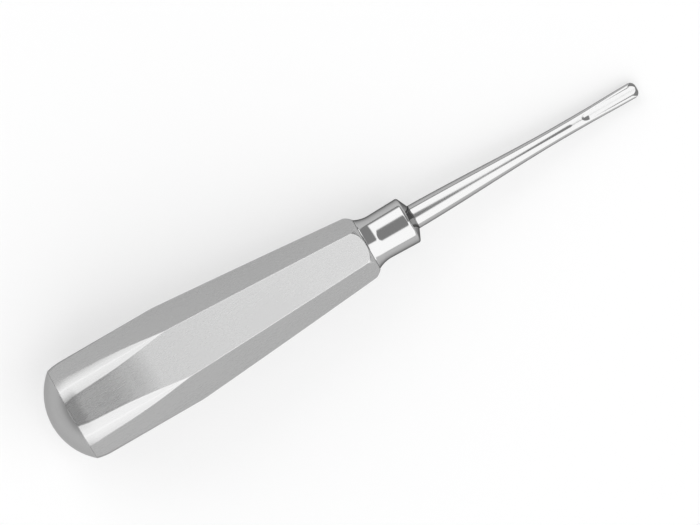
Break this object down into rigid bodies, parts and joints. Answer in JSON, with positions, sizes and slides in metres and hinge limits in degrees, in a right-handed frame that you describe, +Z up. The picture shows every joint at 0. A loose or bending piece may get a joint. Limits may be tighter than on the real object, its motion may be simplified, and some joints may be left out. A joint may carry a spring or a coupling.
{
  "type": "dental luxator",
  "caption": "Straight hand elevator for loosening teeth: hollow hexagonal steel handle with a domed butt, polished ferrule and a slim tapered shank ending in a scooped blade.",
  "frame": {"origin": "centre of the bounding box in X and Y, on the surface that the instrument lies on", "axes": "+X from the domed butt towards the blade's edge, +Z up, away from the handle's lower flat; the instrument's own axis falls about 4 degrees below +X"},
  "size_m": [0.1446, 0.0226, 0.0224],
  "materials": {
    "satin_steel": "satin",
    "satin_cap_steel": "satin",
    "polished_ferrule_steel": "mirror polished",
    "polished_blade_steel": "polished"
  },
  "bodies": {
    "root": {"handle_shell": "satin_steel", "end_cap": "satin_cap_steel", "ferrule": "polished_ferrule_steel", "working_end": "polished_blade_steel"}
  },
  "joints": []
}
